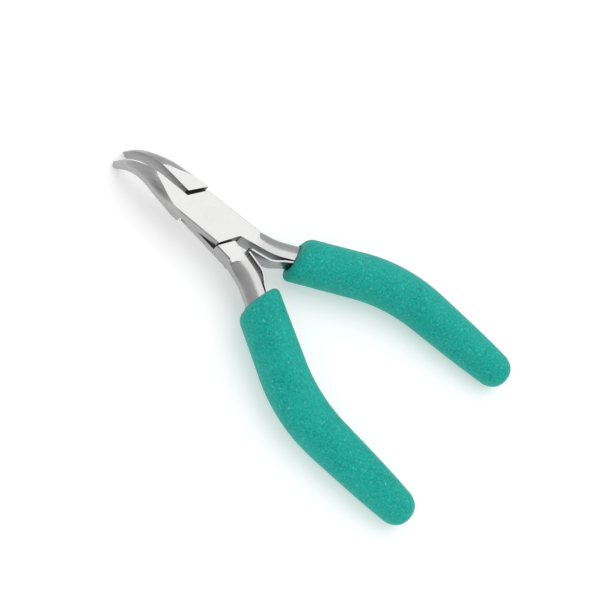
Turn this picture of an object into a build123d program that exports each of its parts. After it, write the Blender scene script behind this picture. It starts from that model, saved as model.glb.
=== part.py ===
"""Needle nose pliers with a bent nose, a lap joint, two leaf springs and foam sleeves.

Frame: +X runs from the pivot to the jaws, +Y to the left handle, +Z up through the marked face.
The origin is on the pivot axis, in the flat underside of the joint. Units are millimetres.

Each half is drawn once, with the jaws closed, in a working frame whose z = 0 plane is the lap
plane between the two halves: jaw on the +y side, handle on the -y side, lap plate on top.
The other half is the same piece turned half a turn about X. Both then swing open to the rest pose.
"""
import math
import os

from build123d import *

# ---- joint -----------------------------------------------------------------------------------
JOINT_THICKNESS = 6.35
JOINT_HALF_WIDTH_FRONT = 6.35      # at the front of the lap plate
JOINT_HALF_WIDTH_MIDDLE = 6.5      # at the lap plate's rear corner on the jaw side
JOINT_HALF_WIDTH_REAR = 6.85       # at the shoulder behind the pivot
JOINT_EDGE_BREAK = 0.4             # chamfer along the joint's long outer edges
REST_HALF_ANGLE = 3.65             # degrees each half stands open under the springs
LAP_GAP = 0.06                     # sliding clearance between the two lap plates
PLATE_FRONT_X = 10.9               # lap plate's front corner, on the centre line
PLATE_FRONT_SIDE_X = 6.7           # the same edge at the side of the joint
PLATE_REAR_X = 9.8                 # lap plate's rear corner, behind the pivot
PLATE_REAR_SIDE_X = 6.0
STEP_FRONT_GAP = 0.9               # closed gap from the plate's front edge to the jaw step
STEP_FRONT_SIDE_GAP = 1.7
STEP_REAR_GAP = 0.55               # closed gap from the plate's rear edge to the handle step
STEP_REAR_SIDE_GAP = 1.15

# ---- pivot rivet -----------------------------------------------------------------------------
PIVOT_DIAMETER = 4.8
PIVOT_HEAD_DIAMETER = 6.8
PIVOT_HEAD_DEPTH = 1.0
PIVOT_CLEARANCE = 0.05             # radial, in the half that turns on the rivet

# ---- jaw and bent nose -----------------------------------------------------------------------
JAW_MEETING_GAP = 0.1              # between the two gripping faces when closed
NOSE_BEND_START_X = 20.5
NOSE_BEND_RADIUS = 15.0
NOSE_BEND_ANGLE = 60.0
NOSE_STRAIGHT_TIP = 4.1
# Sections across the jaw: distance along its centre line from the start of the bend,
# half-round width out from the gripping face, and half height of the ellipse it belongs to.
JAW_SECTIONS = (
    (-13.5, 6.40, 16.0),
    (-10.0, 6.42, 9.5),
    (-7.8, 6.42, 6.6),
    (-5.2, 6.25, 4.8),
    (-2.4, 5.85, 3.8),
    (0.6, 5.20, 3.35),
    (4.0, 4.15, 3.0),
    (8.0, 3.15, 2.5),
    (12.0, 2.50, 2.05),
    (16.0, 2.05, 1.62),
)
NOSE_TIP_WIDTH = 1.6
NOSE_TIP_HALF_HEIGHT = 1.32
NOSE_TIP_BREAK = 0.45              # how far the very tip is taken in all round its back
TOOTH_PITCH = 0.65
TOOTH_DEPTH = 0.16
TOOTH_COUNT = 13

# ---- handle ----------------------------------------------------------------------------------
HANDLE_WIDTH = 6.5                 # D section: flat inner face to the crown of the round side
HANDLE_HALF_HEIGHT = 3.3           # at the flat inner face
HANDLE_CROWN_RADIUS = 2.1          # of the round side's crown; two larger arcs join it to the flat
NECK_START = (10.4, 0.75)          # inner face, as distance behind the pivot and off centre
NECK_BEND = (22.75, 3.2)
NECK_BEND_RADIUS = 22.0
SPLAY_ANGLE = 27.5                 # of the handle's front run, closed
TAIL_ANGLE = 1.4                   # by which the handle's rear run closes in again
HANDLE_BEND_BACK = 62.3            # corner of the grip's centre line
HANDLE_BEND_RADIUS = 52.0
TANG_END_BACK = 98.0
RUNOUT_RADIUS = 3.5                # where the joint's flat gives way to the round handle
RUNOUT_BACK = 18.0
RUNOUT_OUTSIDE = 0.45              # of the runout's centre, beyond the joint's side
FAIRING_BACK = 8.0                 # the handle's back stays inside a line that leaves the shoulder
FAIRING_RISE = 2.7                 # and rises this much over that distance
SHOULDER_BACK = 13.2

# ---- foam grip -------------------------------------------------------------------------------
GRIP_AXIS_OFFSET = 1.95            # grip's centre line outside the handle's inner face
GRIP_LEAD = 45.0                   # straight run of that line ahead of its bend
GRIP_MOUTH_BACK = 28.2             # of the mouth's middle, at rest
GRIP_MOUTH_TURN = 12.0             # degrees the mouth is turned from square to X, at rest
GRIP_END_BACK = 112.2
GRIP_MOUTH_RADIUS = 7.75
GRIP_BELLY_RADIUS = 7.95
GRIP_TAIL_RADIUS = 6.1
GRIP_CAP_LENGTH = 6.5
GRIP_SIDES = 22                    # flats round the soft sleeve, which keep it light to mesh
GRIP_CLEARANCE = 0.1

# ---- leaf springs ----------------------------------------------------------------------------
LEAF_THICKNESS = 0.7
LEAF_WIDTH = 6.2
LEAF_TIP_GAP = 0.1                 # between the two free tips at rest
LEAF_TIP = (14.9, (LEAF_THICKNESS + LEAF_TIP_GAP) / 2)     # behind the pivot and off centre
LEAF_KNEE = (23.2, 2.45)
LEAF_HEEL = (26.4, 5.75)
LEAF_LANDING_BACK = 31.5           # where the leaf meets the handle
LEAF_TAIL_LONGEST = 13.0           # riveted stretch beyond the landing
LEAF_BEND_RADIUS = 6.0
LEAF_RIVET_DIAMETER = 2.4
LEAF_RIVET_HEAD_DIAMETER = 4.2
LEAF_RIVET_HEAD_HEIGHT = 0.8
LEAF_RIVET_SHARE = 0.54            # of the tail, from the landing to the rivet
LEAF_RIVET_DEPTH = 4.6             # into the handle

HALF_THICKNESS = JOINT_THICKNESS / 2
FAR = 60.0                         # larger than the joint and jaws, for cutting blocks


def back(point):
    """A point given as (distance behind the pivot, distance off centre) on the handle's side."""
    return (-point[0], -point[1])


def extruded(points, bottom, top):
    """A prism over a closed outline, between two heights."""
    outline = make_face(Polyline(*points, close=True))
    return Pos(0, 0, bottom) * extrude(outline, amount=top - bottom)


def bar_section(width, half_height, crown):
    """D-shaped section of three tangent arcs: flat side on the local y axis, crown out along x."""
    reach = width - crown
    side_radius = (reach**2 + half_height**2 - crown**2) / (2 * (half_height - crown))
    sink = side_radius - half_height
    slant = math.atan2(sink, reach)
    half_slant = (math.pi / 2 + slant) / 2
    meet = Vector(reach + crown * math.cos(slant), crown * math.sin(slant))
    on_side = Vector(side_radius * math.cos(half_slant), side_radius * math.sin(half_slant) - sink)
    upper = ThreePointArc((0, half_height), on_side, meet)
    nose = ThreePointArc(meet, (width, 0), (meet.X, -meet.Y))
    lower = ThreePointArc((meet.X, -meet.Y), (on_side.X, -on_side.Y), (0, -half_height))
    chord = Line((0, -half_height), (0, half_height))
    return make_face(upper + nose + lower + chord)


def half_round(width, half_height):
    """Half-elliptical section: flat side on the local y axis, round side out along local x."""
    crown = EllipticalCenterArc((0, 0), width, half_height, start_angle=-90, arc_size=180)
    chord = Line(crown @ 1, crown @ 0)
    return make_face(crown + chord)


# ---- jaw -------------------------------------------------------------------------------------
def nose_plane(distance, droop, offset=JAW_MEETING_GAP / 2):
    """Plane across the jaw, at a distance along its centre line from the start of the bend.

    The nose bends towards -z for a droop of 1 and towards +z for a droop of -1.
    """
    bend = math.radians(NOSE_BEND_ANGLE)
    turn = min(max(distance / NOSE_BEND_RADIUS, 0), bend)
    along = distance if distance < 0 else max(distance - NOSE_BEND_RADIUS * bend, 0)
    x = NOSE_BEND_START_X + NOSE_BEND_RADIUS * math.sin(turn) + along * math.cos(turn)
    z = -NOSE_BEND_RADIUS * (1 - math.cos(turn)) - along * math.sin(turn)
    normal = (math.cos(turn), 0, -droop * math.sin(turn))
    return Plane(origin=(x, offset, droop * z), x_dir=(0, 1, 0), z_dir=normal)


def nose_length():
    """Length of the centre line from the start of the bend to the tip."""
    return NOSE_BEND_RADIUS * math.radians(NOSE_BEND_ANGLE) + NOSE_STRAIGHT_TIP


def side_offset(distance_back):
    """Half width of the joint on the handle's side, which widens evenly to the shoulder."""
    run = (distance_back + PLATE_FRONT_SIDE_X) / (SHOULDER_BACK + PLATE_FRONT_SIDE_X)
    return JOINT_HALF_WIDTH_FRONT + run * (JOINT_HALF_WIDTH_REAR - JOINT_HALF_WIDTH_FRONT)


def front_step_points():
    """The jaw's step at the centre line and at the side, on the jaw's own side."""
    inner = (PLATE_FRONT_X + STEP_FRONT_GAP, 0)
    outer = (PLATE_FRONT_SIDE_X + STEP_FRONT_SIDE_GAP, JOINT_HALF_WIDTH_FRONT)
    return inner, outer


def tooth_groove(distance, droop):
    """One V groove across the gripping face, at a distance along the nose."""
    depth_y = JAW_MEETING_GAP / 2 + TOOTH_DEPTH
    half_pitch = TOOTH_PITCH / 2
    reach = 2 * HALF_THICKNESS
    vee = Polyline((-half_pitch, 0), (0, depth_y), (half_pitch, 0), close=True)
    across = nose_plane(distance, droop, offset=0)
    lying = Plane(origin=across.origin - across.y_dir * reach / 2, x_dir=-across.z_dir, z_dir=across.y_dir)
    return extrude(lying * make_face(vee), amount=reach)


def bent_slab(droop):
    """The joint's thickness carried forward level, then round the nose's bend and to its tip."""
    tip = nose_length()
    bend_end = NOSE_BEND_RADIUS * math.radians(NOSE_BEND_ANGLE)

    def level(distance, height):
        """A point over the jaw's centre line."""
        place = nose_plane(distance, droop, offset=0)
        return place.origin + place.y_dir * height

    sides = []
    for height in (-HALF_THICKNESS, HALF_THICKNESS):
        start, bend, end = level(-NOSE_BEND_START_X, height), level(0, height), level(bend_end, height)
        arc = ThreePointArc(bend, level(bend_end / 2, height), end)
        sides.append((Line(start, bend), arc, Line(end, level(tip, height))))
    low, high = sides
    outline = Wire([*low, Line(low[2] @ 1, high[2] @ 1), *high, Line(high[0] @ 0, low[0] @ 0)])
    return extrude(Face(outline), amount=FAR / 2, dir=(0, 1, 0), both=True)


def jaw(droop):
    """Half-round jaw with its bent, tapering nose and the teeth of its gripping face."""
    length = nose_length()
    sections = [nose_plane(s, droop) * half_round(w, h) for s, w, h in JAW_SECTIONS]
    shoulder = half_round(NOSE_TIP_WIDTH, NOSE_TIP_HALF_HEIGHT)
    end = half_round(NOSE_TIP_WIDTH - NOSE_TIP_BREAK, NOSE_TIP_HALF_HEIGHT - NOSE_TIP_BREAK)
    sections.append(nose_plane(length - NOSE_TIP_BREAK, droop) * shoulder)
    body = loft(sections) + loft([sections[-1], nose_plane(length, droop) * end], ruled=True)
    inner, outer = front_step_points()
    slope = (outer[0] - inner[0]) / (outer[1] - inner[1])
    ahead = [
        (inner[0] - slope * 2, -2),
        (FAR, -2),
        (FAR, 10),
        (outer[0] + slope * (10 - outer[1]), 10),
    ]
    body = body & extruded(ahead, -FAR, FAR)
    body = body & bent_slab(droop)
    first = length - TOOTH_PITCH * (TOOTH_COUNT + 0.5)
    for index in range(TOOTH_COUNT):
        body = body - tooth_groove(first + TOOTH_PITCH * (index + 0.5), droop)
    return body


# ---- handle ----------------------------------------------------------------------------------
def splay_direction():
    """Unit step along the handle's front run, away from the pivot."""
    angle = math.radians(SPLAY_ANGLE)
    return Vector(-math.cos(angle), -math.sin(angle))


def splay_inward():
    """Unit step square to the handle's inner face, towards the other handle."""
    run = splay_direction()
    return Vector(run.Y, -run.X)


def handle_bend_corner(offset):
    """Corner of a line that runs outside the inner face by an offset, where the handle bends."""
    splay = math.radians(SPLAY_ANGLE)
    tail = math.radians(TAIL_ANGLE)
    off_centre = NECK_BEND[1] + math.tan(splay) * (HANDLE_BEND_BACK - NECK_BEND[0])
    shift = offset / math.cos((splay + tail) / 2)
    middle = (splay - tail) / 2
    return Vector(
        -HANDLE_BEND_BACK + shift * math.sin(middle),
        -off_centre - shift * math.cos(middle),
    )


def tail_point(corner, distance_back):
    """Where the rear run through a corner reaches a distance behind the pivot."""
    run = distance_back + corner.X
    return Vector(-distance_back, corner.Y + run * math.tan(math.radians(TAIL_ANGLE)))


def handle_line():
    """Inner face of the handle, seen from above, from the neck to the end of the tang."""
    corner = handle_bend_corner(0)
    points = [back(NECK_START), back(NECK_BEND), corner, tail_point(corner, TANG_END_BACK)]
    return FilletPolyline(*points, radius=[NECK_BEND_RADIUS, HANDLE_BEND_RADIUS])


def along_handle(section):
    """A section carried along the handle's inner face, its local x turned outwards."""
    line = handle_line()
    along = line % 0
    plane = Plane(origin=line @ 0, x_dir=Vector(-along.Y, along.X), z_dir=along)
    return sweep(plane * section, path=line)


def inner_face_point(distance_back):
    """A point on the straight stretch of the inner face between the neck and the splay."""
    run = (distance_back - NECK_START[0]) / (NECK_BEND[0] - NECK_START[0])
    return (-distance_back, -(NECK_START[1] + run * (NECK_BEND[1] - NECK_START[1])))


def rear_step_points():
    """The handle's step at the centre line and at the side, on the handle's own side."""
    side_back = PLATE_REAR_SIDE_X + STEP_REAR_SIDE_GAP
    inner = (-PLATE_REAR_X - STEP_REAR_GAP, 0)
    outer = (-side_back, -side_offset(side_back))
    return inner, outer


def neck_block():
    """Flat-sided root of the handle at full thickness, ending in the round runout."""
    inner, outer = rear_step_points()
    share = NECK_START[1] / -outer[1]
    step_inner = (inner[0] + (outer[0] - inner[0]) * share, -NECK_START[1])
    side = -JOINT_HALF_WIDTH_REAR
    centre = (-RUNOUT_BACK, side - RUNOUT_OUTSIDE)
    runout_low = (centre[0], centre[1] + RUNOUT_RADIUS)
    reach = math.sqrt(RUNOUT_RADIUS**2 - RUNOUT_OUTSIDE**2)
    runout_high = (centre[0] + reach, side)
    middle_angle = math.radians(50)
    runout_mid = (
        centre[0] + RUNOUT_RADIUS * math.cos(middle_angle),
        centre[1] + RUNOUT_RADIUS * math.sin(middle_angle),
    )
    outline = Polyline(
        runout_high,
        (-SHOULDER_BACK, side),
        outer,
        step_inner,
        back(NECK_START),
        inner_face_point(RUNOUT_BACK),
        runout_low,
    )
    runout = ThreePointArc(runout_low, runout_mid, runout_high)
    return Pos(0, 0, -HALF_THICKNESS) * extrude(make_face(outline + runout), amount=JOINT_THICKNESS)


def handle():
    """D-section handle, flattened to the joint's thickness and faired into the joint's side."""
    bar = along_handle(bar_section(HANDLE_WIDTH, HANDLE_HALF_HEIGHT, HANDLE_CROWN_RADIUS))
    slab = Box(4 * FAR, 4 * FAR, JOINT_THICKNESS)
    side = JOINT_HALF_WIDTH_REAR
    envelope = [
        (-NECK_START[0] + 2, 2),
        (-NECK_START[0] + 2, -side),
        (-SHOULDER_BACK, -side),
        (-SHOULDER_BACK - FAIRING_BACK, -side - FAIRING_RISE),
        (-3 * FAR, -2 * FAR),
        (-3 * FAR, 2),
    ]
    return bar & slab & extruded(envelope, -HALF_THICKNESS, HALF_THICKNESS)


# ---- joint plate and the whole half ----------------------------------------------------------
def lap_plate():
    """Half-thickness plate that laps the other half, from the jaw step to the handle's root."""
    front = JOINT_HALF_WIDTH_FRONT
    rear = JOINT_HALF_WIDTH_REAR
    face = JAW_MEETING_GAP / 2
    neck = inner_face_point(NECK_START[0] + 2)
    outline = [
        (PLATE_FRONT_X, 0),
        (PLATE_FRONT_X, face),
        (PLATE_FRONT_X + STEP_FRONT_GAP + 0.5, face),
        (PLATE_FRONT_X + STEP_FRONT_GAP, front * 0.6),
        (PLATE_FRONT_SIDE_X + STEP_FRONT_SIDE_GAP, front),
        (-PLATE_REAR_SIDE_X, JOINT_HALF_WIDTH_MIDDLE),
        (-PLATE_REAR_X, 0),
        back(NECK_START),
        neck,
        (-SHOULDER_BACK, -rear),
        (PLATE_FRONT_SIDE_X, -front),
    ]
    return extruded(outline, LAP_GAP / 2, HALF_THICKNESS)


def pivot_cut(extra):
    """Shape of the pivot rivet, grown radially by an extra."""
    radius = PIVOT_DIAMETER / 2 + extra
    head = PIVOT_HEAD_DIAMETER / 2 + extra
    cone_start = HALF_THICKNESS - PIVOT_HEAD_DEPTH
    profile = Polyline(
        (0, -HALF_THICKNESS),
        (head, -HALF_THICKNESS),
        (radius, -cone_start),
        (radius, cone_start),
        (head, HALF_THICKNESS),
        (0, HALF_THICKNESS),
        close=True,
    )
    return revolve(Plane.XZ * make_face(profile), Axis.Z)


def along_splay(distance_back):
    """Length along the handle's front run, from the neck's bend to a distance behind the pivot."""
    return (distance_back - NECK_BEND[0]) / math.cos(math.radians(SPLAY_ANGLE))


def leaf_tail_length():
    """Riveted stretch of the leaf, which ends before the handle's bend begins."""
    half_turn = math.radians(SPLAY_ANGLE + TAIL_ANGLE) / 2
    bend_start = along_splay(HANDLE_BEND_BACK) - HANDLE_BEND_RADIUS * math.tan(half_turn)
    return min(LEAF_TAIL_LONGEST, bend_start - along_splay(LEAF_LANDING_BACK) - LEAF_THICKNESS)


def leaf_rivet_place():
    """Centre of the spring rivet on the handle's inner face, and the inward direction."""
    start = Vector(*back(NECK_BEND))
    setback = LEAF_RIVET_SHARE * leaf_tail_length()
    return start + splay_direction() * (along_splay(LEAF_LANDING_BACK) + setback), splay_inward()


def leaf_rivet():
    """Low-headed rivet that holds the leaf to the handle's inner face."""
    centre, inward = leaf_rivet_place()
    plane = Plane(origin=(centre.X, centre.Y, 0), x_dir=(0, 0, 1), z_dir=(inward.X, inward.Y, 0))
    radius = LEAF_RIVET_DIAMETER / 2
    head = LEAF_RIVET_HEAD_DIAMETER / 2
    top = LEAF_THICKNESS + LEAF_RIVET_HEAD_HEIGHT
    outline = Polyline(
        (0, top),
        (head * 0.6, top),
        (head, LEAF_THICKNESS),
        (radius, LEAF_THICKNESS),
        (radius, -LEAF_RIVET_DEPTH),
        (0, -LEAF_RIVET_DEPTH),
        close=True,
    )
    return plane * revolve(Plane.XZ * make_face(outline), Axis.Z)


def edge_breaks():
    """Slim square bars set on edge along the joint's four long outer edges, for its chamfers."""
    lines = (
        ((PLATE_FRONT_X * 1.5, JOINT_HALF_WIDTH_FRONT), (-PLATE_REAR_SIDE_X, JOINT_HALF_WIDTH_MIDDLE)),
        ((PLATE_FRONT_SIDE_X, -JOINT_HALF_WIDTH_FRONT), (-SHOULDER_BACK, -JOINT_HALF_WIDTH_REAR)),
    )
    side = JOINT_EDGE_BREAK * math.sqrt(2)
    bars = []
    for start, end in lines:
        run = Vector(*end) - Vector(*start)
        bar = Box(side, side, run.length, align=(Align.CENTER, Align.CENTER, Align.MIN))
        for height in (-HALF_THICKNESS, HALF_THICKNESS):
            edge = Plane(origin=(*start, height), x_dir=(0, 0, 1), z_dir=run)
            bars.append(edge * (Rot(0, 0, 45) * bar))
    return bars


def half(droop, pivot_extra):
    """One half of the pliers, closed: jaw, lap plate, neck and handle in one piece of steel."""
    body = lap_plate() + jaw(droop) + neck_block() + handle()
    for bar in edge_breaks():
        body = body - bar
    body = body - pivot_cut(pivot_extra)
    return body - leaf_rivet()


# ---- leaf spring -----------------------------------------------------------------------------
def opened(shape):
    """Swings a closed-pose shape of the top half to its rest pose."""
    return Rot(0, 0, REST_HALF_ANGLE) * shape


def leaf_line():
    """Middle line of the leaf at rest, from its free tip to its riveted tail."""
    run = splay_direction().rotate(Axis.Z, REST_HALF_ANGLE)
    inward = splay_inward().rotate(Axis.Z, REST_HALF_ANGLE)
    start = Vector(*back(NECK_BEND)).rotate(Axis.Z, REST_HALF_ANGLE)
    landing = start + run * along_splay(LEAF_LANDING_BACK) + inward * (LEAF_THICKNESS / 2)
    tail = landing + run * leaf_tail_length()
    points = [back(LEAF_TIP), back(LEAF_KNEE), back(LEAF_HEEL), landing, tail]
    return FilletPolyline(*points, radius=LEAF_BEND_RADIUS)


def leaf_spring():
    """Flat spring strip, bent at its knee and heel, with the rivet's hole in its tail."""
    line = leaf_line()
    along = line % 0
    across = Vector(-along.Y, along.X)
    plane = Plane(origin=line @ 0, x_dir=across, z_dir=along)
    strip = sweep(plane * Rectangle(LEAF_THICKNESS, LEAF_WIDTH), path=line)
    return strip - opened(leaf_rivet())


# ---- foam grip -------------------------------------------------------------------------------
def grip_line():
    """Centre line of the grip, closed, from ahead of its mouth to its end."""
    corner = handle_bend_corner(GRIP_AXIS_OFFSET)
    start = corner - splay_direction() * GRIP_LEAD
    points = [start, corner, tail_point(corner, GRIP_END_BACK)]
    return FilletPolyline(*points, radius=HANDLE_BEND_RADIUS)


def sleeve_ring(line, run, radius):
    """The sleeve's outline, a many-sided polygon, square to its centre line."""
    share = run / line.length
    place = Plane(origin=line @ share, x_dir=(0, 0, 1), z_dir=line % share)
    return place * RegularPolygon(radius, GRIP_SIDES)


def sleeve_body():
    """The grip's solid form: it swells to the bend, turns evenly and tapers to a rounded end."""
    front, bend, rear = grip_line().edges()
    swell = [
        sleeve_ring(front, 0, GRIP_MOUTH_RADIUS),
        sleeve_ring(front, front.length, GRIP_BELLY_RADIUS),
    ]
    taper = [sleeve_ring(rear, 0, GRIP_BELLY_RADIUS)]
    cap_start = rear.length - GRIP_CAP_LENGTH
    for degrees in (0, 25, 50, 70):
        turn = math.radians(degrees)
        run = cap_start + GRIP_CAP_LENGTH * math.sin(turn)
        taper.append(sleeve_ring(rear, run, GRIP_TAIL_RADIUS * math.cos(turn) ** 0.8))
    taper.append(sleeve_ring(rear, rear.length, GRIP_TAIL_RADIUS * 0.2))
    turned = sweep(sleeve_ring(bend, 0, GRIP_BELLY_RADIUS), path=bend)
    return loft(swell, ruled=True) + turned + loft(taper, ruled=True)


def handle_room():
    """Flat-sided channel inside the grip that clears the handle all round."""
    height = HANDLE_HALF_HEIGHT + GRIP_CLEARANCE
    outer = HANDLE_WIDTH + GRIP_CLEARANCE
    upper = [(-GRIP_CLEARANCE, height), (0.55 * HANDLE_WIDTH, height), (outer, 0.4 * HANDLE_HALF_HEIGHT)]
    lower = [(x, -y) for x, y in reversed(upper)]
    channel = along_handle(make_face(Polyline(*upper, *lower, close=True)))
    return channel


def grip():
    """Foam sleeve with a rounded end, cut square at its mouth and hollow for the handle."""
    body = opened(sleeve_body() - handle_room())
    front = opened(grip_line().edges()[0])
    run = (front @ 0).X + GRIP_MOUTH_BACK
    middle = front @ 0 - (front % 0) * (run / (front % 0).X)
    mouth = Pos(middle) * (Rot(0, 0, GRIP_MOUTH_TURN) * (Pos(FAR, 0, 0) * Box(2 * FAR, 4 * FAR, FAR)))
    return body - mouth - leaf_slot()


def leaf_slot():
    """Room inside the grip for the leaf's tail and the rivet's head, at rest."""
    line = leaf_line()
    along = line % 0
    across = Vector(-along.Y, along.X)
    plane = Plane(origin=line @ 0, x_dir=across, z_dir=along)
    width = LEAF_WIDTH + 2 * GRIP_CLEARANCE
    thickness = LEAF_THICKNESS + 2 * GRIP_CLEARANCE
    strip = sweep(plane * Rectangle(thickness, width), path=line)
    centre, inward = leaf_rivet_place()
    depth = LEAF_THICKNESS + LEAF_RIVET_HEAD_HEIGHT + GRIP_CLEARANCE
    seat = Plane(origin=(centre.X, centre.Y, 0), x_dir=(0, 0, 1), z_dir=(inward.X, inward.Y, 0))
    head = Cylinder(
        LEAF_RIVET_HEAD_DIAMETER / 2 + GRIP_CLEARANCE,
        depth,
        align=(Align.CENTER, Align.CENTER, Align.MIN),
    )
    return strip + opened(seat * head)


# ---- assembly --------------------------------------------------------------------------------
def top_side(shape):
    """Stands a rest-pose shape of the top half on the joint's underside plane."""
    return Pos(0, 0, HALF_THICKNESS) * shape


def bottom_side(shape):
    """Turns a rest-pose shape over, about X, for the bottom half."""
    return Pos(0, 0, HALF_THICKNESS) * (Rot(180, 0, 0) * shape)


def main():
    os.makedirs("parts", exist_ok=True)
    leaf = leaf_spring()
    rivet = opened(leaf_rivet())
    sleeve = grip()
    nodes = {
        "right_handle_half": top_side(opened(half(1, 0))),
        "left_handle_half": bottom_side(opened(half(-1, PIVOT_CLEARANCE))),
        "pivot_rivet": top_side(pivot_cut(0)),
        "right_leaf_spring": top_side(leaf),
        "left_leaf_spring": bottom_side(leaf),
        "right_spring_rivet": top_side(rivet),
        "left_spring_rivet": bottom_side(rivet),
        "right_grip": top_side(sleeve),
        "left_grip": bottom_side(sleeve),
    }
    for name, shape in nodes.items():
        export_step(shape, f"parts/{name}.step")


main()
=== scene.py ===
import math

import bpy
import numpy as np
from mathutils import Matrix, Vector


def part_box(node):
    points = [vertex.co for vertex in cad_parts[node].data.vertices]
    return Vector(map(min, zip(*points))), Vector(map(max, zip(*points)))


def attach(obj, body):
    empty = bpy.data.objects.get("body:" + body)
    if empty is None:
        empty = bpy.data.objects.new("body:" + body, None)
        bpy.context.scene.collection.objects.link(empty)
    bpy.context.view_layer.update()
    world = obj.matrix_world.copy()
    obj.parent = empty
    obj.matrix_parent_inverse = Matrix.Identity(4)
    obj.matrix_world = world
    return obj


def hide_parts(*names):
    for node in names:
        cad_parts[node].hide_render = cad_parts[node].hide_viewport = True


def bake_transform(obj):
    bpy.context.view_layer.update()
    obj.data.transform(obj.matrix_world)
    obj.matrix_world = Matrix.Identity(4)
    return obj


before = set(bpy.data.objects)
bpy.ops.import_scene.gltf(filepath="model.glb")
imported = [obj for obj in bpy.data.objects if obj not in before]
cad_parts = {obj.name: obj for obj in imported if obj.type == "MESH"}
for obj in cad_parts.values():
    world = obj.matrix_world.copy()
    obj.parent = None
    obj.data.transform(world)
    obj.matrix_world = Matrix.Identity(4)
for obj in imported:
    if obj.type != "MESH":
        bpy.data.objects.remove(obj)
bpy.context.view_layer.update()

MM = 0.001

# ---- sizes of the tool, in millimetres, as the steel parts have them ------------------------
JOINT_THICKNESS = 6.35
MID_HEIGHT = JOINT_THICKNESS / 2           # the lap plane, above the joint's underside
REST_HALF_ANGLE = 3.65                     # degrees each half stands open
NECK_BEND = (22.75, 3.2)                   # behind the pivot, off centre, with the jaws closed
SPLAY_ANGLE = 27.5
TAIL_ANGLE = 1.4
HANDLE_BEND_BACK = 62.3
HANDLE_BEND_RADIUS = 52.0
GRIP_AXIS_OFFSET = 1.95
LEAF_THICKNESS = 0.7
LEAF_WIDTH = 6.2
LEAF_TIP = (14.9, 0.40)
LEAF_KNEE = (23.2, 2.45)
LEAF_HEEL = (26.4, 5.75)
LEAF_LANDING_BACK = 31.5
LEAF_TAIL_LENGTH = 13.0
LEAF_BEND_RADIUS = 6.0
LEAF_EDGE_RADIUS = 0.12
LEAF_TIP_ROUNDING = 1.2                    # run over which the free tip comes in to its blunt end
LEAF_TIP_WIDTH = 0.72                      # share of the strip's width left at that end
LEAF_SPACING = 0.5                         # between the rings of the strip

# ---- the foam sleeve -------------------------------------------------------------------------
GRIP_MOUTH_BACK = 28.2                     # of the middle of the mouth
GRIP_MOUTH_TURN = 12.0                     # degrees from square to X, towards square to the sleeve
GRIP_MOUTH_LEAN = 0.07                     # slope: the right sleeve's lower lip stands forward
GRIP_END_BACK = 111.1
GRIP_LEAD = 45.0                           # straight run of the sleeve's axis ahead of its bend
# radii along the sleeve, at shares of its length
GRIP_STATIONS = (0.0, 0.16, 0.36, 0.52, 0.66, 0.80, 0.90, 1.0)
GRIP_RADII = (7.75, 7.85, 8.0, 7.8, 7.4, 6.9, 6.35, 5.5)
GRIP_CAP_LENGTH = 6.5
GRIP_CAP_POWER = 0.8                       # below 1 the cap is blunter than an ellipse
GRIP_RIM_RADIUS = 2.3
GRIP_AXIS_SPACING = 0.25
GRIP_RINGS = 150
GRIP_SIDES = 96
HOLE_HALF_WIDTH = 4.31
HOLE_HALF_HEIGHT = 3.35
HOLE_OFFSET = -0.31                        # away from the other handle
HOLE_DEPTHS = (16.0, 9.6, 4.8, 3.0, 1.2, 0.45)
HOLE_LIP_RADIUS = 0.35
HOLE_INNER_POWER = 4.0                     # squarer towards the other handle, where the leaf goes in
HOLE_OUTER_POWER = 2.2                     # nearly round on the outside

# ---- where each finish of the steel and the painted shade in the joint begin and end: the two ends of a blend, millimetres ----
STEP_AHEAD = (12.3, 12.6)                  # the joint's step walls, painted dark as shade, lie behind this
STEP_BEHIND = (-10.8, -10.5)               # and ahead of this
STEP_ACROSS = (5.8, 6.1)                   # and within this of the long axis
LAP_SKIN = (0.1, 0.2)                      # faces painted dark as shade lie within this of the lap plane
NECK_START = (-17.5, -14.5)                # behind the joint, where the handles' necks begin

# ---- the same, by the upright part of the surface normal -------------------------------------
FLAT_NORMAL = (0.950, 0.957)               # from satin side to ground flat
NECK_FLAT_LOSS = 0.018                     # asked for on top of that along the necks
SHOULDER_SHADE_NORMAL = (0.72, 0.94)             # painted shade darkens the side over this, up to the flat
SHOULDER_SHADE_AHEAD = 0.45                      # strength of that painted shade ahead of the necks
WALL_NORMAL = (0.2, 0.4)                   # from upright wall to anything flatter

# ---- patterns: scale per metre, detail, and stretch along X, Y and Z --------------------------
GRIND_MARKS = (900.0, 3.0, (6.0, 0.35, 0.35))
BELT_MARKS = (1500.0, 2.0, (0.15, 1.0, 1.0))
MILL_MARKS = (2200.0, 1.0, (1.0, 1.0, 0.1))
FOAM_PORES = (3600.0, 2.0)
FOAM_GRAIN = (1500.0, 4.0)
FOAM_SPECKS = (1150.0, 1.0)
FOAM_CLOUDS = (120.0, 2.0)

# ---- colours ---------------------------------------------------------------------------------
# painted shade in the joint's gaps, dark with faint mill marks
JOINT_SHADE_DARK = (0.03, 0.03, 0.03)
JOINT_SHADE_LIGHT = (0.16, 0.16, 0.16)
DEEP_TEAL = (0.0005, 0.275, 0.228)
CLEAR_TEAL = (0.005, 0.455, 0.372)
CLOUDY_TEAL = (0.022, 0.500, 0.412)
SPECK_TEAL = (0.160, 0.700, 0.610)
PORE_TEAL = (0.002, 0.160, 0.130)
PAPER_WHITE = (0.8, 0.8, 0.8)

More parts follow.
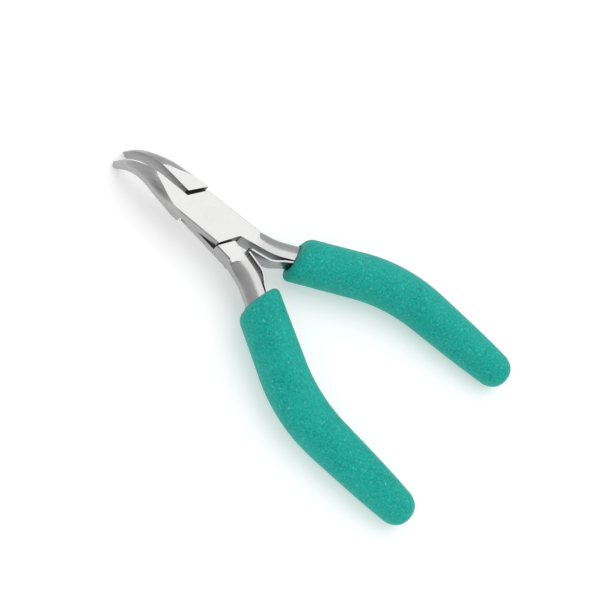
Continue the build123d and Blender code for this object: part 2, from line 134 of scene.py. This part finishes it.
# ---- floor, light and camera -----------------------------------------------------------------
GRIP_BELLY_BACK = 48.0                     # where the sleeve's underside is lowest
FLOOR_GAP = 0.1                            # between the nose tips and the floor
FLOOR_REACH = 3.0                          # metres from the tool to the floor's edges
CARD_WAY = (0.0, 0.76, 0.65)               # from the tool to the middle of the dark card
CARD_EDGE = (0.82, 0.98)                   # cosine of the angle from there, at its soft edge
ROOM_STRENGTH = 0.76
CARD_STRENGTH = 0.22
CAMERA_WAY = (0.075, 0.5, 0.866)           # from the tool to the camera
CAMERA_ROLL = 137.58                       # degrees
CAMERA_DISTANCE = 0.4515                   # metres
CAMERA_TARGET = (-38.4, -0.5, MID_HEIGHT)
CAMERA_LENS = 83.7
CAMERA_SENSOR = 36.0

BODY = {"right": "right_handle_body", "left": "left_handle_body"}


# ---- helpers ---------------------------------------------------------------------------------
def unit(vectors):
    """Rows scaled to length one."""
    return vectors / np.linalg.norm(vectors, axis=-1, keepdims=True)


def turned(points, degrees):
    """Points turned about the pivot, counterclockwise from above."""
    angle = math.radians(degrees)
    turn = np.array([[math.cos(angle), -math.sin(angle)], [math.sin(angle), math.cos(angle)]])
    out = np.array(points, float)
    out[..., :2] = out[..., :2] @ turn.T
    return out


def flipped(points):
    """Half a turn about the tool's long axis at mid height, which takes one half to the other."""
    return points * np.array([1.0, -1.0, -1.0])


def route(corners, radii, spacing):
    """Points along straight runs joined by arcs tangent to both, about evenly spaced.

    Each arc starts and ends a tangent length, radius times tan of half the turn, from its
    corner, and is swept from the circle's centre by equal angles.
    """
    corners = np.array(corners, float)
    pieces = [corners[:1]]
    last = corners[0]
    for here, ahead, radius in zip(corners[1:-1], corners[2:], radii):
        way_in = unit(here - last)
        way_out = unit(ahead - here)
        turn = math.atan2(np.cross(way_in, way_out), way_in @ way_out)
        reach = radius * math.tan(abs(turn) / 2)
        begin = here - way_in * reach
        side = math.copysign(1.0, turn)
        centre = begin + side * radius * np.array([-way_in[1], way_in[0]])
        steps = max(int(np.linalg.norm(begin - last) / spacing), 1)
        pieces.append(last + (begin - last) * np.linspace(0, 1, steps + 1)[1:, None])
        steps = max(int(radius * abs(turn) / spacing), 6)
        sweep = np.linspace(0, turn, steps + 1)[1:]
        arm = begin - centre
        pieces.append(centre + np.stack([
            arm[0] * np.cos(sweep) - arm[1] * np.sin(sweep),
            arm[0] * np.sin(sweep) + arm[1] * np.cos(sweep),
        ], axis=1))
        last = here + way_out * reach
    steps = max(int(np.linalg.norm(corners[-1] - last) / spacing), 1)
    pieces.append(last + (corners[-1] - last) * np.linspace(0, 1, steps + 1)[1:, None])
    return np.concatenate(pieces)


def lengths_along(points):
    """Distance run from the first point to each point."""
    steps = np.linalg.norm(np.diff(points, axis=0), axis=1)
    return np.concatenate([[0.0], np.cumsum(steps)])


def directions_along(points):
    """Unit direction at each point, from its neighbours."""
    return unit(np.gradient(points, axis=0))


def eased(at, stations, values):
    """A smooth curve through the values: cubic between stations, with slopes from neighbours."""
    stations = np.array(stations, float)
    values = np.array(values, float)
    slopes = np.gradient(values, stations)
    index = np.clip(np.searchsorted(stations, at, side="right") - 1, 0, len(stations) - 2)
    span = stations[index + 1] - stations[index]
    t = np.clip((at - stations[index]) / span, 0, 1)
    rise = values[index + 1] - values[index]
    start = slopes[index] * span
    end = slopes[index + 1] * span
    curve = t**2 * (3 - 2 * t) * rise + t * (1 - t) ** 2 * start - t**2 * (1 - t) * end
    return values[index] + curve


def grid_faces(rings, sides):
    """Quads of a tube whose rings each have the same number of points."""
    ring = np.arange(rings - 1)[:, None] * sides
    side = np.arange(sides)[None, :]
    ahead = (side + 1) % sides
    corners = [ring + side, ring + ahead, ring + sides + ahead, ring + sides + side]
    return np.stack(corners, axis=-1).reshape(-1, 4)


def new_piece(name, points, faces, material):
    """A mesh object from arrays, in metres, standing at the joint's underside plane."""
    place = (np.asarray(points) + np.array([0.0, 0.0, MID_HEIGHT])) * MM
    mesh = bpy.data.meshes.new(name)
    mesh.from_pydata(place.tolist(), [], faces)
    mesh.polygons.foreach_set("use_smooth", [True] * len(mesh.polygons))
    mesh.materials.append(material)
    mesh.update()
    piece = bpy.data.objects.new(name, mesh)
    bpy.context.scene.collection.objects.link(piece)
    return piece


# ---- materials -------------------------------------------------------------------------------
def new_material(name):
    """A node material with its shader ready to be wired."""
    material = bpy.data.materials.new(name)
    material.use_nodes = True
    nodes = material.node_tree.nodes
    return material, nodes, material.node_tree.links, nodes["Principled BSDF"]


def noise(nodes, links, coordinates, scale, detail, stretch=None):
    """Noise on object coordinates, at a scale per metre, stretched along an axis if asked."""
    texture = nodes.new("ShaderNodeTexNoise")
    texture.inputs["Scale"].default_value = scale
    texture.inputs["Detail"].default_value = detail
    if stretch:
        mapping = nodes.new("ShaderNodeMapping")
        mapping.inputs["Scale"].default_value = stretch
        links.new(coordinates, mapping.inputs["Vector"])
        coordinates = mapping.outputs["Vector"]
    links.new(coordinates, texture.inputs["Vector"])
    return texture.outputs["Fac"]


def spread(nodes, links, value, low, high, from_low=0.3, from_high=0.7):
    """A value carried from one span to another, clamped."""
    node = nodes.new("ShaderNodeMapRange")
    node.inputs["From Min"].default_value = from_low
    node.inputs["From Max"].default_value = from_high
    node.inputs["To Min"].default_value = low
    node.inputs["To Max"].default_value = high
    links.new(value, node.inputs["Value"])
    return node.outputs["Result"]


def mixed(nodes, links, share, first, second):
    """A colour between two, by a share from 0 to 1."""
    node = nodes.new("ShaderNodeMix")
    node.data_type = "RGBA"
    for socket, colour in ((node.inputs[6], first), (node.inputs[7], second)):
        if isinstance(colour, tuple):
            socket.default_value = (*colour, 1.0)
        else:
            links.new(colour, socket)
    links.new(share, node.inputs["Factor"])
    return node.outputs[2]


def math_node(nodes, links, operation, first, second=None):
    """One arithmetic step between two values, either of which may be a plain number."""
    node = nodes.new("ShaderNodeMath")
    node.operation = operation
    for socket, value in zip(node.inputs, (first, second)):
        if isinstance(value, (int, float)):
            socket.default_value = value
        elif value is not None:
            links.new(value, socket)
    return node.outputs[0]


def add_bump(nodes, links, shader, height, strength, depth):
    """Relief on the surface from a height pattern, with its depth in millimetres."""
    bump = nodes.new("ShaderNodeBump")
    bump.inputs["Strength"].default_value = strength
    bump.inputs["Distance"].default_value = depth * MM
    links.new(height, bump.inputs["Height"])
    links.new(bump.outputs["Normal"], shader.inputs["Normal"])


def dimmed(colour, share):
    """A colour at a share of its brightness."""
    return tuple(channel * share for channel in colour)


def steel(name, flat_colour, side_colour, flat_roughness, side_roughness):
    """Ground steel: bright lapped flats, satin belt-finished sides, painted shade on faces in the
    joint.

    Flats are told from sides by how far the surface normal stands upright. Along the handles'
    necks the ground strip is narrower and duller. A shoulder next to each flat is painted darker than
    the rest of the side, as painted shade. Faces on the lap plane, and upright walls inside the
    joint's outline, are painted dark, as painted shade in the joint's gaps.
    """
    material, nodes, links, shader = new_material(name)

    def step(operation, first, second=None):
        return math_node(nodes, links, operation, first, second)

    def band(value, low, high, limits=(0.3, 0.7), scale=1.0):
        return spread(nodes, links, value, low, high, limits[0] * scale, limits[1] * scale)

    def mix(share, first, second):
        return mixed(nodes, links, share, first, second)

    place = nodes.new("ShaderNodeTexCoord").outputs["Object"]
    at = nodes.new("ShaderNodeSeparateXYZ")
    links.new(place, at.inputs["Vector"])
    facing = nodes.new("ShaderNodeSeparateXYZ")
    links.new(nodes.new("ShaderNodeNewGeometry").outputs["Normal"], facing.inputs["Vector"])
    upright = step("ABSOLUTE", facing.outputs["Z"])

    # where each finish is, and where shade is painted
    neck = band(at.outputs["X"], 1.0, 0.0, NECK_START, MM)
    level = step("SUBTRACT", upright, step("MULTIPLY", neck, NECK_FLAT_LOSS))
    flat = band(level, 0.0, 1.0, FLAT_NORMAL)
    # painted shade: a darkened shoulder next to each flat, weaker ahead of the necks
    shoulder_shade = step("MULTIPLY", band(level, 0.0, 1.0, SHOULDER_SHADE_NORMAL),
                    band(neck, SHOULDER_SHADE_AHEAD, 1.0, (0.0, 1.0)))
    # painted shade: faces on the lap plane and upright walls inside the joint's outline are darkened
    off_lap = step("ABSOLUTE", step("SUBTRACT", at.outputs["Z"], MID_HEIGHT * MM))
    on_lap = step("MULTIPLY", flat, band(off_lap, 1.0, 0.0, LAP_SKIN, MM))
    ahead = band(at.outputs["X"], 1.0, 0.0, STEP_AHEAD, MM)
    behind = band(at.outputs["X"], 0.0, 1.0, STEP_BEHIND, MM)
    across = band(step("ABSOLUTE", at.outputs["Y"]), 1.0, 0.0, STEP_ACROSS, MM)
    inside = step("MULTIPLY", step("MULTIPLY", ahead, behind), across)
    wall = band(upright, 1.0, 0.0, WALL_NORMAL)
    joint_shade_mask = step("MAXIMUM", step("MULTIPLY", wall, inside), on_lap)

    # the marks that each finish leaves, then its colours with the painted shade, and its gloss
    grind = noise(nodes, links, place, *GRIND_MARKS)
    belt = noise(nodes, links, place, *BELT_MARKS)
    mill = noise(nodes, links, place, *MILL_MARKS)
    bright = mix(band(grind, 0.0, 1.0), dimmed(flat_colour, 0.94), flat_colour)
    bright = mix(neck, bright, dimmed(flat_colour, 0.82))
    satin = mix(band(belt, 0.0, 1.0), dimmed(side_colour, 0.84), side_colour)
    # painted shade on the side's shoulder next to each flat
    satin = mix(shoulder_shade, satin, dimmed(side_colour, 0.70))
    # painted shade colour for the joint's gaps
    joint_shade = mix(band(mill, 0.0, 1.0), JOINT_SHADE_DARK, JOINT_SHADE_LIGHT)
    links.new(mix(joint_shade_mask, mix(flat, satin, bright), joint_shade), shader.inputs["Base Color"])
    gloss = nodes.new("ShaderNodeMix")
    links.new(flat, gloss.inputs["Factor"])
    links.new(band(belt, side_roughness - 0.05, side_roughness + 0.06), gloss.inputs[2])
    links.new(band(grind, flat_roughness - 0.03, flat_roughness + 0.04), gloss.inputs[3])
    links.new(gloss.outputs[0], shader.inputs["Roughness"])
    shader.inputs["Metallic"].default_value = 1.0
    add_bump(nodes, links, shader, belt, 0.12, 0.03)
    return material


def foam(name):
    """Closed-cell foam: dense teal with fine pores, soft mottling and a dull skin."""
    material, nodes, links, shader = new_material(name)
    place = nodes.new("ShaderNodeTexCoord").outputs["Object"]
    pores = noise(nodes, links, place, *FOAM_PORES)
    grain = noise(nodes, links, place, *FOAM_GRAIN)
    specks = noise(nodes, links, place, *FOAM_SPECKS)
    clouds = noise(nodes, links, place, *FOAM_CLOUDS)
    grained = spread(nodes, links, grain, 0.0, 1.0, 0.36, 0.64)
    teal = mixed(nodes, links, grained, DEEP_TEAL, CLEAR_TEAL)
    teal = mixed(nodes, links, spread(nodes, links, clouds, 0.0, 0.3), teal, CLOUDY_TEAL)
    teal = mixed(nodes, links, spread(nodes, links, specks, 0.0, 0.42, 0.64, 0.76), teal, SPECK_TEAL)
    teal = mixed(nodes, links, spread(nodes, links, pores, 0.3, 0.0, 0.3, 0.5), teal, PORE_TEAL)
    links.new(teal, shader.inputs["Base Color"])
    links.new(spread(nodes, links, grain, 0.5, 0.68), shader.inputs["Roughness"])
    shader.inputs["Specular IOR Level"].default_value = 0.18
    shader.inputs["Sheen Weight"].default_value = 0.06
    shader.inputs["Sheen Roughness"].default_value = 0.5
    add_bump(nodes, links, shader, pores, 0.35, 0.12)
    return material


# ---- pieces ----------------------------------------------------------------------------------
def splay_way():
    """Unit step back along the right handle's front run, with the jaws closed."""
    angle = math.radians(SPLAY_ANGLE)
    return np.array([-math.cos(angle), -math.sin(angle)])


def grip_axis():
    """The sleeve's centre line, right side, at rest, at even steps."""
    splay = math.radians(SPLAY_ANGLE)
    tail = math.radians(TAIL_ANGLE)
    off = NECK_BEND[1] + math.tan(splay) * (HANDLE_BEND_BACK - NECK_BEND[0])
    shift = GRIP_AXIS_OFFSET / math.cos((splay + tail) / 2)
    middle = (splay - tail) / 2
    corner = np.array([
        -HANDLE_BEND_BACK + shift * math.sin(middle),
        -off - shift * math.cos(middle),
    ])
    start = corner - splay_way() * GRIP_LEAD
    run = GRIP_END_BACK + corner[0]
    end = np.array([-GRIP_END_BACK, corner[1] + run * math.tan(tail)])
    return turned(route([start, corner, end], [HANDLE_BEND_RADIUS], GRIP_AXIS_SPACING), REST_HALF_ANGLE)


def sleeve_points():
    """Rings of the foam sleeve, from deep in its hole, over the rim, to its rounded end.

    Outside, each point stands at the sleeve's radius from the centre line, at an angle round it;
    the rings start on the leaning mouth plane, and the radius follows a quarter circle in at the
    rim and an elliptical cap at the end. Inside, a superellipse hole runs back along the line, and
    a quarter circle rolls its edge out to the mouth.
    """
    axis = grip_axis()
    run = lengths_along(axis)
    way = directions_along(axis)
    lead = way[0]
    inward = np.array([lead[1], -lead[0]])
    turn = math.radians(GRIP_MOUTH_TURN)
    mouth_way = np.array([math.cos(turn), math.sin(turn)])
    middle_run = (-GRIP_MOUTH_BACK - axis[0][0]) / lead[0]

    def mouth_run(across, height):
        """Run along the straight lead at which a line offset from it meets the mouth plane."""
        lean = across * (inward @ mouth_way) + GRIP_MOUTH_LEAN * height
        return middle_run - lean / (lead @ mouth_way)

    def at(distance, across, height):
        """Points at a run along the centre line, and offsets across it and up from it."""
        x, y = (np.interp(distance, run, axis[:, i]) for i in (0, 1))
        way_x, way_y = (np.interp(distance, run, way[:, i]) for i in (0, 1))
        return np.stack([x + across * way_y, y - across * way_x, height], axis=-1)

    angle = np.linspace(0, 2 * math.pi, GRIP_SIDES, endpoint=False)
    cos, sin = np.cos(angle), np.sin(angle)
    rings = []

    # the hole, from its blind end to its rolled edge
    power = np.where(cos > 0, 2 / HOLE_INNER_POWER, 2 / HOLE_OUTER_POWER)
    hole_across = HOLE_OFFSET + HOLE_HALF_WIDTH * np.sign(cos) * np.abs(cos) ** power
    hole_height = HOLE_HALF_HEIGHT * np.sign(sin) * np.abs(sin) ** power
    hole_mouth = mouth_run(hole_across, hole_height)
    for depth in HOLE_DEPTHS:
        rings.append(at(hole_mouth + depth, hole_across, hole_height))
    for lip in np.linspace(0, math.pi / 2, 4):
        grow = HOLE_LIP_RADIUS * math.sin(lip)
        ahead = HOLE_LIP_RADIUS * (math.sin(lip) - math.cos(lip))
        rings.append(at(hole_mouth - ahead, hole_across + grow * cos, hole_height + grow * sin))

    # the flat of the mouth, then the rim's rounding
    flat_radius = GRIP_RADII[0] - GRIP_RIM_RADIUS
    for share in (0.35, 0.7):
        across = (hole_across + HOLE_LIP_RADIUS * cos) * (1 - share) + flat_radius * cos * share
        height = (hole_height + HOLE_LIP_RADIUS * sin) * (1 - share) + flat_radius * sin * share
        rings.append(at(mouth_run(across, height), across, height))
    for tilt in np.linspace(0, math.pi / 2, 9)[:-1]:
        radius = flat_radius + GRIP_RIM_RADIUS * math.sin(tilt)
        across, height = radius * cos, radius * sin
        setback = GRIP_RIM_RADIUS * (1 - math.cos(tilt)) / -lead[0]
        rings.append(at(mouth_run(across, height) + setback, across, height))

    # the outside, from the end of the rim's rounding to the cap
    begin = mouth_run(GRIP_RADII[0] * cos, GRIP_RADII[0] * sin) + GRIP_RIM_RADIUS / -lead[0]
    cap_start = run[-1] - GRIP_CAP_LENGTH

    def radius_at(distance):
        share = (distance - begin.mean()) / (run[-1] - begin.mean())
        return eased(share, GRIP_STATIONS, GRIP_RADII)

    for share in np.linspace(0, 1, GRIP_RINGS):
        distance = begin + (cap_start - begin) * share
        radius = radius_at(distance)
        rings.append(at(distance, radius * cos, radius * sin))
    cap_radius = radius_at(np.array([cap_start]))[0]
    for tilt in np.linspace(0, math.pi / 2, 20)[1:-1]:
        radius = cap_radius * math.cos(tilt) ** GRIP_CAP_POWER
        distance = np.full(GRIP_SIDES, cap_start + GRIP_CAP_LENGTH * math.sin(tilt))
        rings.append(at(distance, radius * cos, radius * sin))
    return np.stack(rings), at(run[-1:], np.zeros(1), np.zeros(1))


def make_sleeve(side, material):
    """The foam sleeve of one handle: a tube of rings, closed by a fan at the cap and in the hole."""
    rings, tip = sleeve_points()
    count, sides, _ = rings.shape
    hole_end = rings[0].mean(axis=0, keepdims=True)
    points = np.concatenate([rings.reshape(-1, 3), tip, hole_end])
    quads = grid_faces(count, sides).tolist()
    last = (count - 1) * sides
    cap_fan = [[last + i, last + (i + 1) % sides, count * sides] for i in range(sides)]
    hole_fan = [[(i + 1) % sides, i, count * sides + 1] for i in range(sides)]
    if side == "left":
        points = flipped(points)
    piece = new_piece(f"foam_sleeve_{side}", points, quads + cap_fan + hole_fan, material)
    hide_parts(f"{side}_grip")
    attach(piece, BODY[side])
    return piece


def leaf_route():
    """Middle line of the right leaf at rest, from its free tip to its riveted tail."""
    start = turned(np.array([-NECK_BEND[0], -NECK_BEND[1]]), REST_HALF_ANGLE)
    way = turned(splay_way(), REST_HALF_ANGLE)
    inward = np.array([way[1], -way[0]])
    from_bend = (LEAF_LANDING_BACK - NECK_BEND[0]) / math.cos(math.radians(SPLAY_ANGLE))
    landing = start + way * from_bend + inward * LEAF_THICKNESS / 2
    tail = landing + way * LEAF_TAIL_LENGTH
    corners = [*(-np.array([LEAF_TIP, LEAF_KNEE, LEAF_HEEL])), landing, tail]
    return route(corners, [LEAF_BEND_RADIUS] * 3, LEAF_SPACING), landing


def strip_profile():
    """The strip's section, across and up: a rectangle with its four edges rolled to an arc."""
    half_thick = LEAF_THICKNESS / 2 - LEAF_EDGE_RADIUS
    half_wide = LEAF_WIDTH / 2 - LEAF_EDGE_RADIUS
    profile = []
    for x_sign, y_sign, first in ((1, 1, 0), (-1, 1, 90), (-1, -1, 180), (1, -1, 270)):
        turn = np.radians(first + np.array([0, 30, 60, 90]))
        profile.append(np.stack([
            x_sign * half_thick + LEAF_EDGE_RADIUS * np.cos(turn),
            y_sign * half_wide + LEAF_EDGE_RADIUS * np.sin(turn),
        ], axis=1))
    return np.concatenate(profile)


def make_leaf(side, material):
    """Spring strip: its section carried along the leaf's route.

    At the free tip the width comes in along a quarter ellipse.
    """
    line, landing = leaf_route()
    way = directions_along(line)
    across = np.stack([-way[:, 1], way[:, 0]], axis=1)
    profile = strip_profile()
    from_round = np.clip(1 - lengths_along(line) / LEAF_TIP_ROUNDING, 0, 1)
    width = LEAF_TIP_WIDTH + (1 - LEAF_TIP_WIDTH) * np.sqrt(1 - from_round**2)
    flat = line[:, None, :] + across[:, None, :] * profile[None, :, 0:1]
    height = profile[None, :, 1] * width[:, None]
    points = np.concatenate([flat, height[..., None]], axis=2)
    count, sides, _ = points.shape
    faces = grid_faces(count, sides)[:, ::-1].tolist()
    faces.append(list(range(sides)))
    faces.append([(count - 1) * sides + i for i in reversed(range(sides))])
    points = points.reshape(-1, 3)
    root = np.array([landing[0], landing[1], 0.0])
    if side == "left":
        points = flipped(points)
        root = flipped(root)
    piece = new_piece(f"leaf_strip_{side}", points, faces, material)
    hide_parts(f"{side}_leaf_spring")
    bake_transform(piece)
    return piece


# ---- floor, light and camera -----------------------------------------------------------------
def floor_material():
    """Matt white paper lit from behind, so that the tool leaves only a faint shadow."""
    material, _, _, shader = new_material("lit_paper")
    shader.inputs["Base Color"].default_value = (*PAPER_WHITE, 1.0)
    shader.inputs["Roughness"].default_value = 0.9
    shader.inputs["Emission Color"].default_value = (1.0, 1.0, 1.0, 1.0)
    shader.inputs["Emission Strength"].default_value = 0.32
    return material


def make_floor():
    """A pale floor under the nose tips and the sleeves' bellies, which the tool lies on."""
    lowest = min(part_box(node)[0].z for node in ("right_handle_half", "left_handle_half"))
    tip_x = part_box("right_handle_half")[1].x
    belly_z = (MID_HEIGHT - max(GRIP_RADII)) * MM
    reach = FLOOR_REACH
    mesh = bpy.data.meshes.new("floor")
    mesh.from_pydata([(-reach, -reach, 0), (reach, -reach, 0), (reach, reach, 0), (-reach, reach, 0)],
                     [], [(0, 1, 2, 3)])
    mesh.materials.append(floor_material())
    floor = bpy.data.objects.new("floor", mesh)
    bpy.context.scene.collection.objects.link(floor)
    tilt = -math.atan((belly_z - lowest) / (-GRIP_BELLY_BACK * MM - tip_x))
    floor.rotation_euler = (0, tilt, 0)
    floor.location = (tip_x, 0, lowest - FLOOR_GAP * MM)


def area_light(name, place, target, size, power):
    """A square soft light that faces a target."""
    data = bpy.data.lights.new(name, "AREA")
    data.shape = "SQUARE"
    data.size = size
    data.energy = power
    lamp = bpy.data.objects.new(name, data)
    lamp.location = place
    lamp.rotation_euler = (Vector(target) - Vector(place)).to_track_quat("-Z", "Y").to_euler()
    bpy.context.scene.collection.objects.link(lamp)


def make_light():
    """A bright even room with a dark card up on the left, and two soft lights."""
    world = bpy.data.worlds.new("studio")
    world.use_nodes = True
    nodes, links = world.node_tree.nodes, world.node_tree.links
    background = nodes["Background"]
    background.inputs["Color"].default_value = (1, 1, 1, 1)
    way = nodes.new("ShaderNodeTexCoord").outputs["Generated"]
    card = nodes.new("ShaderNodeVectorMath")
    card.operation = "DOT_PRODUCT"
    card.inputs[1].default_value = Vector(CARD_WAY).normalized()
    links.new(way, card.inputs[0])
    strength = spread(nodes, links, card.outputs["Value"], ROOM_STRENGTH, CARD_STRENGTH, *CARD_EDGE)
    links.new(strength, background.inputs["Strength"])
    bpy.context.scene.world = world
    target = (-0.04, 0, 0)
    area_light("overhead_soft", place=(-0.10, -0.40, 0.69), target=target, size=0.9, power=2.3)
    area_light("left_soft", place=(-0.30, 0.55, 0.45), target=target, size=0.4, power=0.9)


def make_camera():
    """A long lens above the left side of the tool, rolled so that the jaws point up and left."""
    way = Vector(CAMERA_WAY).normalized()
    roll = math.radians(CAMERA_ROLL)
    forward = Vector((1, 0, 0))
    level = (forward - way * forward.dot(way)).normalized()
    above = way.cross(level)
    right = level * math.cos(roll) - above * math.sin(roll)
    up = level * math.sin(roll) + above * math.cos(roll)
    place = Vector(CAMERA_TARGET) * MM + way * CAMERA_DISTANCE
    data = bpy.data.cameras.new("camera")
    data.sensor_width = CAMERA_SENSOR
    data.lens = CAMERA_LENS
    data.clip_start = 0.01
    camera = bpy.data.objects.new("camera", data)
    camera.matrix_world = Matrix((
        (right.x, up.x, way.x, place.x),
        (right.y, up.y, way.y, place.y),
        (right.z, up.z, way.z, place.z),
        (0, 0, 0, 1),
    ))
    bpy.context.scene.collection.objects.link(camera)
    bpy.context.scene.camera = camera


# ---- the scene -------------------------------------------------------------------------------
make_camera()
make_light()
make_floor()

# each steel: colour of its flats, colour of its sides, roughness of its flats and of its sides
joint_steel = steel("lapped_joint_steel", (0.53, 0.53, 0.525), (0.47, 0.47, 0.47), 0.16, 0.34)
rivet_steel = steel("flush_rivet_steel", (0.525, 0.525, 0.52), (0.47, 0.47, 0.47), 0.16, 0.34)
spring_steel = steel("spring_strip_steel", (0.60, 0.60, 0.60), (0.45, 0.45, 0.46), 0.22, 0.26)
fastener_steel = steel("fastener_steel", (0.60, 0.60, 0.60), (0.50, 0.50, 0.50), 0.3, 0.4)
teal_foam = foam("teal_foam")

cad_finish = {
    "right_handle_half": joint_steel,
    "left_handle_half": joint_steel,
    "pivot_rivet": rivet_steel,
    "right_spring_rivet": fastener_steel,
    "left_spring_rivet": fastener_steel,
}
for node, finish in cad_finish.items():
    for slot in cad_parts[node].material_slots:
        slot.material = finish

for side in ("right", "left"):
    make_sleeve(side, teal_foam)
    make_leaf(side, spring_steel)

bpy.context.scene.view_settings.view_transform = "Standard"
